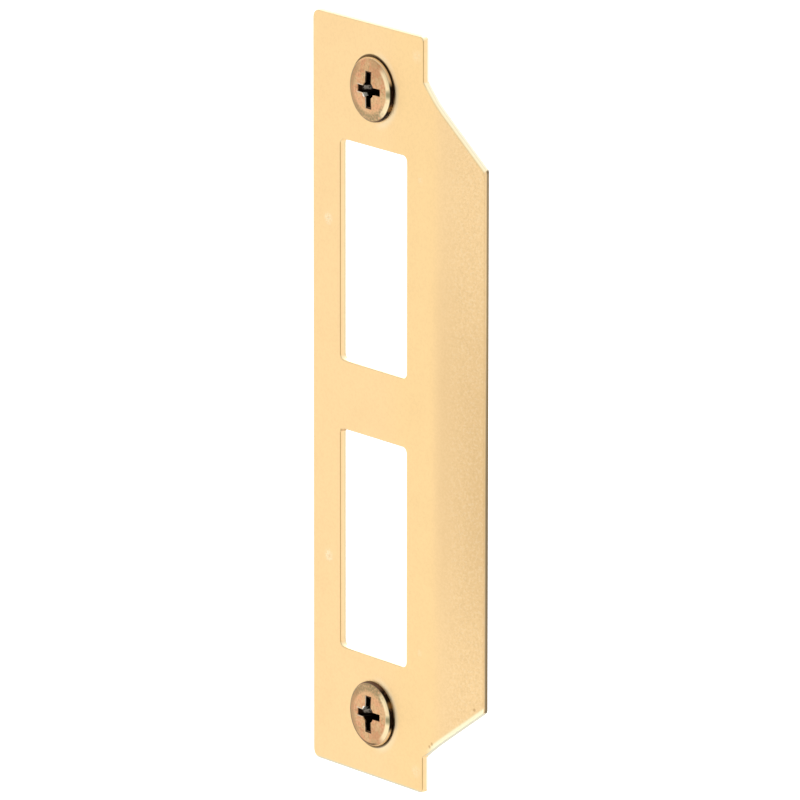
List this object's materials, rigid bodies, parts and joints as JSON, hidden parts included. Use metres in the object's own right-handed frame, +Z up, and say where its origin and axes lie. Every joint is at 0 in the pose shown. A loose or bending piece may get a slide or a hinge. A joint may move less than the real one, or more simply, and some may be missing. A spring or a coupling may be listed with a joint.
{
  "type": "door strike plate",
  "caption": "Flat brass-plated door strike plate with latch and bolt windows, a long lip bent back along one side, and cross-recess screws in its countersunk holes.",
  "frame": {"origin": "middle of the plate's back face, on the bridge between the two windows", "axes": "+X across the plate towards the lip, +Y into the door jamb, +Z up along the plate"},
  "size_m": [0.0457, 0.0132, 0.1396],
  "materials": {
    "plated_sheet": "satin brass plating on steel sheet",
    "screw_metal": "antique brass plating on steel, mottled"
  },
  "bodies": {
    "root": {"strike_plate": "plated_sheet", "upper_screw": "screw_metal", "lower_screw": "screw_metal"}
  },
  "joints": []
}
